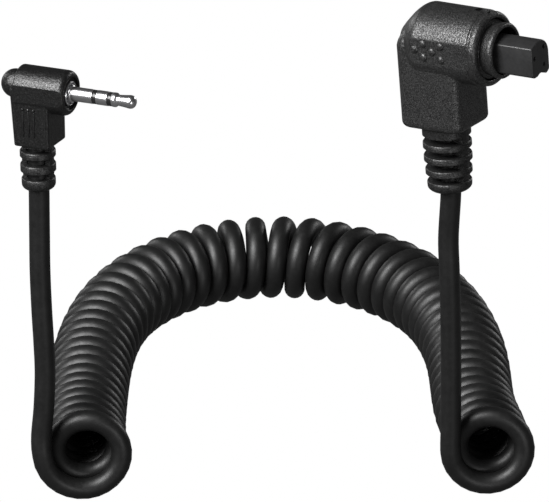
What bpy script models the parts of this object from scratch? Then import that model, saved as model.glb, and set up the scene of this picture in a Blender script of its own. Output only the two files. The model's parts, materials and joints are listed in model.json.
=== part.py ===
"""Electronic shutter-release cable: a coiled cord, a 2.5 mm jack and a right-angle camera connector.

The coil lies on the table as a U that opens to the front. Both tails stand up from its ends and carry
the plugs. Every size below is in millimetres. Each plug is drawn in its own frame: X the way it plugs
in, Z up away from its cord, and Y away from the front, so its side with -Y is the one that is seen.
"""
import math

import bmesh
import bpy
import numpy as np
from mathutils import Matrix, Vector

MM = 0.001
MERGE = 5e-7  # points closer than this after a Boolean are one point, in metres
MIDDLE = (-0.09, 41.19)  # the layout's own place for the middle of the footprint

# The cord
CORD_D = 3.57
COIL_OUTER_R = 7.12
END_LIFT = 1.36  # the wide first turn holds each end of the coil this far up

# The coil's centreline seen from above, from the jack's end round the back to the camera's end
COIL_ROUTE = [
    (-32.25, 3.05), (-32.6, 8.8), (-32.65, 16.7), (-32.4, 25.65), (-31.95, 35.65), (-31.1, 45.2),
    (-29.45, 54.75), (-26.55, 63.75), (-22.0, 71.5), (-16.2, 77.5), (-9.5, 81.45), (-2.05, 83.35),
    (5.6, 82.95), (13.1, 79.95), (19.8, 74.85), (25.1, 68.3), (28.95, 60.3), (31.5, 51.2), (32.95, 42.15),
    (33.6, 32.65), (34.05, 23.65), (35.0, 14.7), (36.2, 7.8), (36.5, 4.55),
]
# Each tail, from below its strain relief down to the left of the coil's end
JACK_TAIL = [
    (-40.12, 2.15, 49.6), (-40.06, 1.75, 42.6), (-39.88, 1.4, 35.6), (-39.58, 1.1, 29.6), (-39.34, 0.9, 24.0),
    (-39.45, 0.7, 17.5), (-39.75, 0.55, 12.0),
]
CAMERA_TAIL = [
    (29.6, 2.85, 48.6), (29.7, 2.6, 42.6), (29.8, 2.4, 36.1), (29.86, 2.15, 27.1), (29.85, 1.95, 19.0),
    (29.82, 1.8, 13.0),
]
JACK_CORD_TOP, CAMERA_CORD_TOP = -7.3, -11.9  # where the cord ends inside each plug, along the plug's Z
# The end turns as (angle from +X in degrees, radius): from the left they go under and tighten
JACK_END_TURN = [
    (180, 7.6), (225, 7.1), (270, 6.7), (315, 6.3), (360, 5.9), (405, 5.55), (450, 5.3), (475, 5.2),
]
CAMERA_END_TURN = [
    (180, 6.7), (225, 6.5), (270, 6.35), (315, 6.2), (360, 5.95), (405, 5.6), (450, 5.3), (475, 5.2),
]
JACK_END = (-32.2, 0.45, COIL_OUTER_R + END_LIFT)
CAMERA_END = (36.5, 1.7, COIL_OUTER_R + END_LIFT)
END_TURN_DEPTH = 0.5  # how far back the end turn leans by its last point

# Where the plugs are held up, at the crossing of each plug's own axis with its cord's axis
JACK_AT = (-40.72, 3.9, 75.85)
JACK_POINTS = (0.898, -0.436, 0.060)
JACK_UP = (-0.015, 0.067, 0.998)
CAMERA_AT = (28.16, 5.14, 84.17)
CAMERA_POINTS = (0.833, -0.544, 0.102)
CAMERA_UP = (-0.028, 0.067, 0.997)

# The 2.5 mm jack
PIN_R = 1.25
PIN_SHOULDER_X = 6.85
SLEEVE_END_X = 11.15
RING_X = (11.9, 14.0)
TIP_X = (14.8, 19.05)
JACK_BARREL_R, JACK_FLAT = 3.92, 3.62
JACK_BARREL_X = (-2.65, 6.88)
JACK_BLOCK_X, JACK_BLOCK_Y, JACK_BLOCK_BOTTOM = (-3.35, 3.9), 3.5, -9.65
JACK_BLOCK_TAPER = (0.5, 0.1, 0.1)  # how much narrower it is at the bottom: rear, front, each side
DOME_R, DOME_X, DOME_LIFT = 2.5, -3.7, 0.5
RIB_X, RIB_R, RIB_TOP, RIB_BOTTOM = (-0.83, 0.2, 1.22), 0.26, -2.95, -7.6
JACK_BOOT_END = -18.0

# The camera connector
BARREL_R, BARREL_FLAT = 6.6, 6.2
REAR_CONE = [
    (-7.3, 1.3), (-7.0, 1.85), (-6.0, 3.01), (-5.0, 4.04), (-4.0, 5.05), (-3.3, 5.76), (-2.8, 6.22),
    (-2.4, 6.47), (-2.0, 6.6),
]
BLOCK_X, BLOCK_Y, BLOCK_BOTTOM = (-6.2, 5.85), 5.4, -14.6
BLOCK_TAPER = (0.1, 0.1, 0.05)
BUMPS = [(-1.45, 0.3), (0.3, 1.5), (0.3, -0.9), (2.05, 0.3), (3.8, 1.5), (3.8, -0.9)]
BUMP_R = 0.76
COLLAR_X = (8.4, 12.5)
COLLAR_STOP = 9.8  # the shoulder in the bore that keeps the collar in
INSERT_FRONT = 20.0
INSERT_Y, INSERT_Z = 2.65, (-3.0, 1.0)
INSERT_ARCH = 1.78
CONTACTS = [(1.2, 1.45), (-1.75, 0.1), (1.1, -1.7)]
CONTACT_HOLE_R = 0.34
CAMERA_BOOT_END = -26.85


# ---- meshes --------------------------------------------------------------------------------------

def add_object(name, bm):
    """A new object from this mesh, in millimetres until here."""
    bmesh.ops.scale(bm, vec=(MM, MM, MM), verts=bm.verts)
    bmesh.ops.recalc_face_normals(bm, faces=bm.faces)
    mesh = bpy.data.meshes.new(name)
    bm.to_mesh(mesh)
    bm.free()
    obj = bpy.data.objects.new(name, mesh)
    bpy.context.scene.collection.objects.link(obj)
    return obj


def loft(name, loops):
    """A solid through loops of points with the same count each, closed by a face at both ends."""
    bm = bmesh.new()
    rows = [[bm.verts.new(point) for point in loop] for loop in loops]
    count = len(rows[0])
    for low, high in zip(rows, rows[1:]):
        for i in range(count):
            j = (i + 1) % count
            bm.faces.new((low[i], low[j], high[j], high[i]))
    bm.faces.new(rows[0])
    bm.faces.new(rows[-1])
    return add_object(name, bm)


def turned(name, profile, along="x", sides=24, centre=(0.0, 0.0)):
    """A solid of revolution. The profile is a closed outline of (distance along the axis, radius)."""
    bm = bmesh.new()
    rows = []
    for reach, radius in profile:
        row = []
        steps = sides if radius > 1e-6 else 1
        for k in range(steps):
            turn = 2 * math.pi * k / sides
            a, b = radius * math.cos(turn) + centre[0], radius * math.sin(turn) + centre[1]
            row.append(bm.verts.new((reach, a, b) if along == "x" else (a, b, reach)))
        rows.append(row)
    for row, after in zip(rows, rows[1:] + rows[:1]):
        if len(row) == 1 and len(after) == 1:
            continue
        for k in range(sides):
            m = (k + 1) % sides
            corners = [row[k % len(row)], row[m % len(row)], after[m % len(after)], after[k % len(after)]]
            bm.faces.new(list(dict.fromkeys(corners)))
    return add_object(name, bm)


def pipe(name, x0, x1, outer, inner, along="x", sides=24, centre=(0.0, 0.0)):
    return turned(name, [(x0, inner), (x0, outer), (x1, outer), (x1, inner)], along, sides, centre)


def rod(name, x0, x1, radius, along="x", sides=24, centre=(0.0, 0.0)):
    return turned(name, [(x0, 0.0), (x0, radius), (x1, radius), (x1, 0.0)], along, sides, centre)


def box(name, x, y, z):
    corners = ((x[0], y[0]), (x[1], y[0]), (x[1], y[1]), (x[0], y[1]))
    return loft(name, [[(a, b, c) for a, b in corners] for c in z])


def rounded_rectangle(x, y, radius, z, steps=4):
    """The corners of a rectangle with round corners, at height z."""
    points = []
    corners = ((x[1], y[1], 0), (x[0], y[1], 90), (x[0], y[0], 180), (x[1], y[0], 270))
    for cx, cy, start in corners:
        ox = cx - math.copysign(radius, cx - (x[0] + x[1]) / 2)
        oy = cy - math.copysign(radius, cy - (y[0] + y[1]) / 2)
        for k in range(steps + 1):
            turn = math.radians(start + 90 * k / steps)
            points.append((ox + radius * math.cos(turn), oy + radius * math.sin(turn), z))
    return points


def rounded_block(name, x, y_half, top, bottom, corner, edge, taper, crown=0.0):
    """An upright block with round corners and a round lower edge.

    The taper (rear, front, side) narrows it towards the bottom, and the crown slopes its top edges in.
    """
    layers = [(top, 0.0, 0.0)]
    if crown:
        layers = [(top + crown, 0.0, crown), (top + 0.3 * crown, 0.0, 0.35 * crown)]
        layers += [(top, 0.0, 0.12 * crown), (top - 0.3 * crown, 0.0, 0.0)]
    layers.append((bottom + edge, 1.0, 0.0))
    for degrees in (30, 60, 90):
        turn = math.radians(degrees)
        layers.append((bottom + edge * (1 - math.sin(turn)), 1.0, edge * (1 - math.cos(turn))))
    loops = []
    for z, share, inset in layers:
        rear, front, side = (v * share + inset for v in taper)
        span = (x[0] + rear, x[1] - front), (side - y_half, y_half - side)
        loops.append(rounded_rectangle(*span, max(corner - inset * 0.5, 0.15), z))
    return loft(name, loops)


def barrel_section(x, radius, flat, steps=14):
    """A circle with two flat sides, as points round the X axis."""
    start = math.acos(min(flat / radius, 0.995))
    points = []
    for base in (0, math.pi):
        for k in range(steps + 1):
            turn = base + start + (math.pi - 2 * start) * k / steps
            points.append((x, radius * math.cos(turn), radius * math.sin(turn)))
    return points


def barrel(name, stations):
    """A round body along X from (x, radius, distance of its flat sides) stations."""
    return loft(name, [barrel_section(*station) for station in stations])


def combined(target, tool, operation):
    """The target after a Boolean with the tool, which is used up."""
    modifier = target.modifiers.new("step", "BOOLEAN")
    modifier.operation = operation
    modifier.solver = "EXACT"
    modifier.object = tool
    graph = bpy.context.evaluated_depsgraph_get()
    mesh = bpy.data.meshes.new_from_object(target.evaluated_get(graph))
    target.modifiers.clear()
    bm = bmesh.new()
    bm.from_mesh(mesh)
    bmesh.ops.remove_doubles(bm, verts=bm.verts, dist=MERGE)
    bmesh.ops.dissolve_degenerate(bm, edges=bm.edges, dist=MERGE)
    bm.to_mesh(mesh)
    bm.free()
    target.data = mesh
    bpy.data.objects.remove(tool)
    return target


def cut(target, *tools):
    for tool in tools:
        combined(target, tool, "DIFFERENCE")
    return target


def joined(target, *tools):
    for tool in tools:
        combined(target, tool, "UNION")
    return target


# ---- the cord's route ----------------------------------------------------------------------------

def smooth(points, spacing):
    """Points at an even spacing along a Catmull-Rom curve through these."""
    knots = [np.array(p, float) for p in points]
    knots = [2 * knots[0] - knots[1]] + knots + [2 * knots[-1] - knots[-2]]
    fine = []
    for p0, p1, p2, p3 in zip(knots, knots[1:], knots[2:], knots[3:]):
        for t in np.linspace(0, 1, 24, endpoint=False):
            fine.append(0.5 * (2 * p1 + (p2 - p0) * t + (2 * p0 - 5 * p1 + 4 * p2 - p3) * t**2
                               + (3 * p1 - p0 - 3 * p2 + p3) * t**3))
    fine = np.array(fine + [knots[-2]])
    reach = np.concatenate([[0], np.cumsum(np.linalg.norm(np.diff(fine, axis=0), axis=1))])
    even = np.linspace(0, reach[-1], max(2, round(reach[-1] / spacing)) + 1)
    return np.stack([np.interp(even, reach, fine[:, k]) for k in range(3)], axis=1)


def inside_plug(at, points, up, top, end):
    """The stretch of cord that runs down its plug's own Z, from its cut end to the strain relief's end."""
    x = Vector(points).normalized()
    z = x.cross(Vector(up).cross(x).normalized())
    return [tuple(Vector(at) + z * (top + (end - top) * k / 3)) for k in range(4)]


def in_place(points):
    """Layout points moved so that the footprint's middle is the origin, in metres."""
    return [((x - MIDDLE[0]) * MM, (y - MIDDLE[1]) * MM, z * MM) for x, y, z in points]


def tube(name, points, radius, resolution):
    """A closed tube along these points, which are in metres."""
    curve = bpy.data.curves.new(name, "CURVE")
    curve.dimensions = "3D"
    curve.bevel_depth = radius * MM
    curve.bevel_resolution = resolution
    curve.use_fill_caps = True
    spline = curve.splines.new("POLY")
    spline.points.add(len(points) - 1)
    for point, place in zip(spline.points, points):
        point.co = (*place, 1.0)
    obj = bpy.data.objects.new(name, curve)
    bpy.context.scene.collection.objects.link(obj)
    return obj


def end_turn(centre, turns):
    """The wide turn that a tail makes in front of the coil's end."""
    last = turns[-1][0] - turns[0][0]
    points = []
    for angle, radius in turns:
        turn = math.radians(angle)
        back = END_TURN_DEPTH * (angle - turns[0][0]) / last
        side, up = radius * math.cos(turn), radius * math.sin(turn)
        points.append((centre[0] + side, centre[1] + back, centre[2] + up))
    return points


def coil_centreline():
    """The route with its height: on the table along most of it, and lifted near both ends."""
    flat = smooth([(x, y, 0.0) for x, y in COIL_ROUTE], 4.6)
    reach = np.concatenate([[0], np.cumsum(np.linalg.norm(np.diff(flat, axis=0), axis=1))])
    from_end = np.minimum(reach, reach[-1] - reach)
    ease = np.clip(1 - from_end / 22.0, 0, 1)
    flat[:, 2] = COIL_OUTER_R + 0.02 + END_LIFT * 0.9 * ease**2 * (3 - 2 * ease)
    return flat


# ---- looks and frames ----------------------------------------------------------------------------

def material(name, colour, roughness, metallic=0.0):
    made = bpy.data.materials.new(name)
    made.use_nodes = True
    shader = made.node_tree.nodes["Principled BSDF"]
    shader.inputs["Base Color"].default_value = (*colour, 1.0)
    shader.inputs["Roughness"].default_value = roughness
    shader.inputs["Metallic"].default_value = metallic
    return made


def plug_frame(at, points, up):
    """The plug's frame: its origin, with X along its pin or contacts and Z up."""
    x = Vector(points).normalized()
    y = Vector(up).cross(x).normalized()
    z = x.cross(y)
    place = Vector(in_place([at])[0])
    return Matrix.Translation(place) @ Matrix((x, y, z)).transposed().to_4x4()


def finish(obj, look, frame=None, angle=35.0):
    """Gives the piece its own material, puts it in its plug's frame and shades it."""
    own = look.copy()
    own.name = obj.name + "_look"
    obj.data.materials.clear()
    obj.data.materials.append(own)
    if frame is not None:
        obj.matrix_world = frame
    if obj.type == "MESH":
        obj.data.shade_smooth()
        obj.data.set_sharp_from_angle(angle=math.radians(angle))
    return obj


# ---- strain reliefs ------------------------------------------------------------------------------

def strain_relief(name, neck, rings, end, bore, web):
    """A rubber boot along Z, of rings (top, bottom, radius) with slots between them up to two webs.

    Its last ring rounds in to the cord.
    """
    groove = 0.28
    outline = [(neck[0], bore), (neck[0], neck[2]), (neck[1], neck[2])]
    above = neck
    for top, bottom, radius in rings:
        outline += [(above[1] - 0.1, above[2] - groove), (top + 0.1, radius - groove), (top, radius - 0.12)]
        outline += [(top - 0.18, radius), (bottom + 0.15, radius)]
        if (top, bottom, radius) != rings[-1]:
            outline.append((bottom, radius - 0.15))
        above = (top, bottom, radius)
    bottom, radius = rings[-1][1:]
    for degrees in (30, 60, 80):
        turn = math.radians(degrees)
        inset = (radius - bore) * (1 - math.cos(turn))
        outline.append((bottom + (end - bottom) * math.sin(turn), radius - inset))
    outline += [(end, bore + 0.25), (end, bore)]
    boot = turned(name, outline, along="z", sides=32)
    above = neck[1]
    for top, bottom, radius in rings:
        reach = neck[2] + 1.0
        for side in (-1, 1):
            y = sorted((side * web, side * reach))
            cut(boot, box("slot", (-reach, reach), y, (top + 0.02, above - 0.02)))
        above = bottom
    return boot


# ---- the jack ------------------------------------------------------------------------------------

def jack_body():
    x0, x1 = JACK_BARREL_X
    r, flat = JACK_BARREL_R, JACK_FLAT
    stations = [(x0, r - 0.06, flat - 0.06), (x0 + 0.08, r, flat), (x1 - 1.0, r, flat)]
    stations += [(x1 - 0.55, r - 0.1, flat), (x1 - 0.22, r - 0.32, flat - 0.12)]
    stations += [(x1 - 0.05, r - 0.62, flat - 0.34), (x1, r - 0.85, flat - 0.56)]
    body = barrel("jack_body", stations)
    block = rounded_block(
        "block", JACK_BLOCK_X, JACK_BLOCK_Y, 0.6, JACK_BLOCK_BOTTOM, 0.5, 0.35, JACK_BLOCK_TAPER
    )
    joined(body, block)
    for side in (-1, 1):
        for x in RIB_X:
            y = side * (JACK_BLOCK_Y - 0.08)
            rib = rod("rib", RIB_BOTTOM, RIB_TOP, RIB_R, "z", 10, (x, y))
            joined(body, rib)
    # the bore through the barrel, the hollow for the lugs, and the way in for the cord
    cut(body, rod("bore", x0 - 1, x1 + 1, 2.15))
    cut(body, rod("recess", x1 - 0.55, x1 + 1, 2.8))
    cut(body, rod("seat", x0 - 2, x0 + 0.04, DOME_R + 0.06, sides=28, centre=(0.0, DOME_LIFT)))
    cut(body, box("hollow", (-2.0, 2.8), (-1.95, 1.95), (-7.6, 0.5)))
    cut(body, rod("entry", JACK_BLOCK_BOTTOM - 1, -7.0, 1.95, "z", 24, (0.0, 0.0)))
    return body


def dome_cap():
    profile = [(DOME_X - DOME_R, 0.0)]
    for degrees in (15, 30, 45, 60, 75, 90):
        turn = math.radians(degrees)
        profile.append((DOME_X - DOME_R * math.cos(turn), DOME_R * math.sin(turn)))
    seat = JACK_BARREL_X[0] - 0.03
    profile += [(seat, DOME_R), (seat, 0.0)]
    cap = turned("jack_dome_cap", profile, sides=28, centre=(0.0, DOME_LIFT))
    return joined(cap, rod("stem", seat - 0.8, -2.1, 1.9, sides=28))


def jack_sleeve():
    s = PIN_SHOULDER_X
    end = SLEEVE_END_X
    profile = [(2.9, 0.88), (2.9, 1.5), (4.9, 1.5), (4.9, 2.1), (s - 0.12, 2.1), (s, 1.98), (s, 1.5)]
    profile += [(s + 0.35, 1.5), (s + 0.45, PIN_R), (end - 0.06, PIN_R), (end, PIN_R - 0.06), (end, 0.88)]
    return turned("jack_sleeve_contact", profile, sides=28)


def jack_insulator(name, rear, head, outer, inner):
    r = PIN_R - 0.05
    profile = [(rear, inner), (rear, outer), (head[0], outer), (head[0], r), (head[1], r), (head[1], inner)]
    return turned(name, profile, sides=24)


def jack_ring():
    a, b = RING_X
    profile = [(1.9, 0.47), (1.9, 0.6), (a, 0.6), (a, PIN_R - 0.05), (a + 0.05, PIN_R), (b - 0.05, PIN_R)]
    return turned("jack_ring_contact", profile + [(b, PIN_R - 0.05), (b, 0.47)], sides=24)


def jack_tip():
    a, b = TIP_X
    profile = [(-0.4, 0.0), (-0.4, 0.24), (a, 0.24), (a, 1.12), (a + 0.35, PIN_R), (a + 0.65, PIN_R)]
    profile += [(a + 0.95, 0.99), (a + 1.15, 0.96), (a + 2.0, 1.02), (a + 2.75, 1.12), (a + 3.2, 1.17)]
    profile += [(a + 3.5, 1.14), (a + 3.8, 1.02), (a + 4.02, 0.8), (b - 0.09, 0.52), (b, 0.2), (b, 0.0)]
    return turned("jack_tip_contact", profile, sides=24)


def lug(name, x, hole, tab, bottom):
    """A thin washer round the pin's core with a solder tab that reaches down."""
    plate = pipe(name, x[0], x[1], 1.3, hole, sides=20)
    top = -1.1 if tab[0] * tab[1] < 0 else -0.3
    return joined(plate, box("tab", x, tab, (bottom, top)))


def build_jack(black, rubber, plated, pale, wires):
    frame = plug_frame(JACK_AT, JACK_POINTS, JACK_UP)
    finish(jack_body(), black, frame)
    finish(dome_cap(), black, frame)
    finish(jack_sleeve(), plated, frame)
    outer = jack_insulator("jack_outer_insulator", 2.35, (SLEEVE_END_X + 0.03, RING_X[0] - 0.03), 0.85, 0.63)
    finish(outer, pale, frame)
    finish(jack_ring(), plated, frame)
    inner = jack_insulator("jack_inner_insulator", 0.9, (RING_X[1] + 0.03, TIP_X[0] - 0.03), 0.44, 0.27)
    finish(inner, pale, frame)
    finish(jack_tip(), plated, frame)
    finish(lug("jack_sleeve_lug", (2.45, 2.75), 0.92, (-1.9, -0.97), -3.4), plated, frame)
    finish(lug("jack_ring_lug", (1.3, 1.6), 0.66, (-0.45, 0.45), -3.0), plated, frame)
    finish(lug("jack_tip_lug", (0.0, 0.3), 0.5, (1.0, 1.9), -3.4), plated, frame)
    finish(pipe("jack_rear_washer", -1.5, -0.8, 1.7, 0.3), pale, frame)
    # each conductor rises from the cord's cut end to the back of its lug
    routes = {
        "jack_wire_ground": [
            (0.6, -0.7, -6.9), (1.0, -0.9, -6.0), (1.6, -1.2, -5.0), (1.95, -1.4, -4.0), (2.05, -1.45, -3.2),
        ],
        "jack_wire_focus": [
            (0.1, 0.0, -6.9), (0.15, 0.0, -6.0), (0.5, 0.0, -5.0), (0.82, 0.0, -4.0), (0.9, 0.0, -2.9),
        ],
        "jack_wire_shutter": [
            (-0.7, 0.7, -6.9), (-0.75, 0.9, -6.0), (-0.6, 1.2, -5.0), (-0.45, 1.4, -4.0),
            (-0.42, 1.45, -3.2),
        ],
    }
    for (name, route), look in zip(routes.items(), wires):
        wire = tube(name, [tuple(v * MM for v in point) for point in route], 0.32, 2)
        finish(wire, look, frame)
    rings = [(-10.95, -12.15, 3.08), (-13.35, -14.8, 3.06), (-15.95, -17.0, 2.92)]
    neck = (JACK_BLOCK_BOTTOM - 0.04, -10.0, 2.95)
    boot = strain_relief("jack_strain_relief", neck, rings, JACK_BOOT_END, 1.92, 0.8)
    finish(boot, rubber, frame)
    return frame


# ---- the camera connector ------------------------------------------------------------------------

def camera_body():
    r, flat = BARREL_R, BARREL_FLAT
    stations = [(x, radius, flat) for x, radius in REAR_CONE]
    stations += [(8.95, r, flat), (9.05, r - 0.12, flat - 0.05), (9.12, 6.3, 6.05), (9.32, 6.3, 6.12)]
    stations += [(9.45, 6.4, 6.28), (9.65, 6.46, 6.34), (10.1, 6.46, 6.38), (10.42, 6.33, 6.28)]
    body = barrel("camera_plug_body", stations + [(10.64, 6.1, 6.07), (10.78, 5.8, 5.77)])
    block = rounded_block(
        "block", BLOCK_X, BLOCK_Y, 0.9, BLOCK_BOTTOM, 1.2, 0.85, BLOCK_TAPER, crown=2.2
    )
    joined(body, block)
    for side in (-1, 1):
        for x, z in BUMPS:
            joined(body, bump(x, side, z))
    # the key notch on top, then the bore, the hollow behind it and the way in for the cord
    cut(body, box("notch", (7.2, 9.2), (-0.2, 1.9), (6.32, 7.2)))
    cut(body, box("notch", (9.0, 11.6), (-0.2, 1.9), (5.9, 7.2)))
    cut(body, rod("mouth", COLLAR_STOP - 0.4, 12.0, 5.38, sides=36))
    cut(body, rod("bore", 2.2, COLLAR_STOP, 5.65, sides=36))
    cut(body, rod("back", -3.6, 2.6, 4.5, sides=32))
    cut(body, box("hollow", (-3.3, 3.4), (-3.1, 3.1), (-12.3, 0.4)))
    cut(body, rod("entry", BLOCK_BOTTOM - 1, -11.6, 1.95, "z", 24))
    return body


def bump(x, side, z):
    """One low round grip bump on a flat side of the barrel."""
    bm = bmesh.new()
    rows = []
    steps = ((-0.3, 1.0), (0.0, 1.0), (0.16, 0.9), (0.3, 0.65), (0.38, 0.3))
    for height, share in steps:
        radius = BUMP_R * share
        row = []
        for k in range(12):
            turn = 2 * math.pi * k / 12
            place = (x + radius * math.cos(turn), side * (BARREL_FLAT + height), z + radius * math.sin(turn))
            row.append(bm.verts.new(place))
        rows.append(row)
    for low, high in zip(rows, rows[1:]):
        for k in range(12):
            m = (k + 1) % 12
            bm.faces.new((low[k], low[m], high[m], high[k]))
    bm.faces.new(rows[0])
    bm.faces.new(rows[-1])
    return add_object("bump", bm)


def lock_collar():
    a, b = COLLAR_X
    profile = [(a, 4.6), (a, 5.5), (a + 0.9, 5.5), (a + 0.9, 5.15), (b - 2.2, 5.15), (b - 2.1, 4.82)]
    profile += [(b - 1.5, 4.82), (b - 1.35, 4.96), (b - 1.05, 5.03), (b - 0.55, 5.0), (b - 0.2, 4.86)]
    profile += [(b, 4.64), (b, 4.2), (b - 0.12, 4.08), (a + 1.4, 4.08), (a + 1.4, 4.6)]
    return turned("lock_collar", profile, sides=36)


def collar_spring():
    """A closed compression coil, as one tube wound round the connector's axis."""
    mean, wire, turns = 5.05, 0.19, 4.5
    start, stop = 2.75, COLLAR_X[0] - 0.3
    points = []
    steps = int(turns * 14)
    for k in range(steps + 1):
        share = k / steps
        turn = 2 * math.pi * turns * share
        x = start + (stop - start) * share
        points.append((x * MM, mean * math.cos(turn) * MM, mean * math.sin(turn) * MM))
    return tube("collar_spring", points, wire, 1)


def insert_section(x, y, low, high, arch):
    """The D outline: straight sides, an arched top, and a key rib along half of the bottom."""
    points = [(y, low + 0.3), (y - 0.15, low - 0.05), (y - 0.5, low - 0.3), (0.65, low - 0.3)]
    points += [(0.15, low + 0.08), (-y + 0.5, low), (-y + 0.15, low + 0.1), (-y, low + 0.4)]
    for k in range(9):
        turn = math.pi * k / 8
        points.append((-y * math.cos(turn), high + arch * math.sin(turn) ** 0.85))
    return [(x, a, b) for a, b in points]


def contact_insert():
    low, high = INSERT_Z
    loops = [insert_section(0.9, INSERT_Y, low, high, INSERT_ARCH)]
    loops.append(insert_section(INSERT_FRONT - 0.12, INSERT_Y, low, high, INSERT_ARCH))
    loops.append(insert_section(INSERT_FRONT, INSERT_Y - 0.12, low + 0.1, high, INSERT_ARCH - 0.1))
    insert = loft("contact_insert", loops)
    joined(insert, rod("flange", 0.9, 2.0, 4.3, sides=32))
    for y, z in CONTACTS:
        cut(insert, rod("seat", 0.0, 18.9, 0.62, sides=16, centre=(y, z)))
        cut(insert, rod("mouth", 18.0, 21.0, CONTACT_HOLE_R, sides=14, centre=(y, z)))
    return insert


def socket_contact(name, y, z):
    profile = [(0.2, 0.0), (0.2, 0.5), (18.6, 0.58), (18.6, 0.36), (12.0, 0.36), (12.0, 0.0)]
    return turned(name, profile, sides=16, centre=(y, z))


def insert_retainer():
    plate = rod("insert_retainer", -0.8, 0.6, 4.3, sides=32)
    for y, z in CONTACTS:
        cut(plate, rod("hole", -2.0, 2.0, 0.75, sides=14, centre=(y, z)))
    return plate


def build_camera_plug(black, rubber, plated, pale, grey, wires):
    frame = plug_frame(CAMERA_AT, CAMERA_POINTS, CAMERA_UP)
    finish(camera_body(), black, frame)
    finish(lock_collar(), black, frame)
    finish(collar_spring(), plated, frame)
    finish(contact_insert(), grey, frame)
    finish(insert_retainer(), pale, frame)
    names = ("socket_contact_shutter", "socket_contact_focus", "socket_contact_ground")
    for name, (y, z) in zip(names, CONTACTS):
        finish(socket_contact(name, y, z), plated, frame)
    routes = {
        "camera_wire_shutter": [
            (-0.5, 0.9, -11.3), (-1.3, 1.3, -8.6), (-2.4, 1.5, -5.0), (-2.9, 1.4, -1.5), (-2.4, 1.25, 0.9),
            (-1.3, 1.2, 1.45), (-0.1, 1.2, 1.45),
        ],
        "camera_wire_focus": [
            (0.0, -0.9, -11.3), (-0.6, -1.3, -8.6), (-1.8, -1.7, -5.0), (-2.3, -1.75, -2.0),
            (-1.9, -1.75, -0.4), (-1.1, -1.75, 0.1), (-0.1, -1.75, 0.1),
        ],
        "camera_wire_ground": [
            (0.9, 0.3, -11.3), (0.7, 0.6, -8.6), (-0.6, 0.9, -6.0), (-1.6, 1.05, -4.2), (-1.9, 1.1, -2.9),
            (-1.6, 1.1, -2.0), (-1.1, 1.1, -1.7), (-0.1, 1.1, -1.7),
        ],
    }
    for (name, route), look in zip(routes.items(), wires):
        wire = tube(name, [tuple(v * MM for v in point) for point in route], 0.36, 2)
        finish(wire, look, frame)
    rings = [(-17.8, -18.95, 4.2), (-20.15, -21.3, 4.16), (-22.5, -23.65, 4.02), (-24.85, -25.7, 3.84)]
    neck = (BLOCK_BOTTOM - 0.04, -16.55, 4.1)
    boot = strain_relief("camera_strain_relief", neck, rings, CAMERA_BOOT_END, 1.92, 1.0)
    finish(boot, rubber, frame)
    return frame


# ---- the whole object ----------------------------------------------------------------------------

for old in list(bpy.data.objects):
    bpy.data.objects.remove(old)

BLACK = material("black_plastic", (0.02, 0.02, 0.021), 0.62)
RUBBER = material("black_rubber", (0.022, 0.022, 0.023), 0.55)
CORD = material("black_cord", (0.02, 0.02, 0.02), 0.42)
GREY = material("dark_insert", (0.03, 0.03, 0.031), 0.5)
PALE = material("insulator", (0.03, 0.03, 0.03), 0.5)
PLATED = material("nickel", (0.78, 0.78, 0.76), 0.2, 1.0)
WIRES = [
    material("wire_black", (0.02, 0.02, 0.02), 0.5),
    material("wire_red", (0.5, 0.03, 0.02), 0.5),
    material("wire_white", (0.8, 0.8, 0.78), 0.5),
]

build_jack(BLACK, RUBBER, PLATED, PALE, WIRES)
build_camera_plug(BLACK, RUBBER, PLATED, PALE, GREY, WIRES)

BEVEL_STEPS = 2
jack_held = inside_plug(JACK_AT, JACK_POINTS, JACK_UP, JACK_CORD_TOP, JACK_BOOT_END)
jack_route = smooth(jack_held + JACK_TAIL + end_turn(JACK_END, JACK_END_TURN), 3.2)
finish(tube("jack_tail", in_place(jack_route), CORD_D / 2, BEVEL_STEPS), CORD)
camera_held = inside_plug(CAMERA_AT, CAMERA_POINTS, CAMERA_UP, CAMERA_CORD_TOP, CAMERA_BOOT_END)
camera_route = smooth(camera_held + CAMERA_TAIL + end_turn(CAMERA_END, CAMERA_END_TURN), 3.2)
finish(tube("camera_tail", in_place(camera_route), CORD_D / 2, BEVEL_STEPS), CORD)
finish(tube("coil", in_place(coil_centreline()), COIL_OUTER_R, 6), CORD)
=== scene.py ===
"""The looks of the shutter-release cable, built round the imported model."""

import json  # noqa: E402
import math  # noqa: E402

import bmesh  # noqa: E402
import bpy  # noqa: E402
import numpy as np  # noqa: E402
from mathutils import Matrix, Vector  # noqa: E402


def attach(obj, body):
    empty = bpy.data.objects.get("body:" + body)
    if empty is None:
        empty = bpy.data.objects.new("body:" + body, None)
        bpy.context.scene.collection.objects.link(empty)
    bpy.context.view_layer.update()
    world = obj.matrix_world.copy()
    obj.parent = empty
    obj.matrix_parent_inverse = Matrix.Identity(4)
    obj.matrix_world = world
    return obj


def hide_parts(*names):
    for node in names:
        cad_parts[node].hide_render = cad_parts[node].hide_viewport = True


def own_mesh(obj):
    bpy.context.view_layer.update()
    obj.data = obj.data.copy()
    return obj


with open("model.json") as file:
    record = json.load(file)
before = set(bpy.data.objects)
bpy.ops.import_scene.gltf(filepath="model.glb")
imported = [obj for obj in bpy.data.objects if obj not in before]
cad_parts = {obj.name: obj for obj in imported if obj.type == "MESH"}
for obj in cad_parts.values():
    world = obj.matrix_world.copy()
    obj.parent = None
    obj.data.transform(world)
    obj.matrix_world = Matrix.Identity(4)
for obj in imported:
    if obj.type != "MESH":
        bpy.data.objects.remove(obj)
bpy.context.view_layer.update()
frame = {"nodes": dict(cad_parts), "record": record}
MM = 0.001
MIDDLE = (-0.09, 41.19)  # the layout's own place for the middle of the footprint, in millimetres

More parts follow.
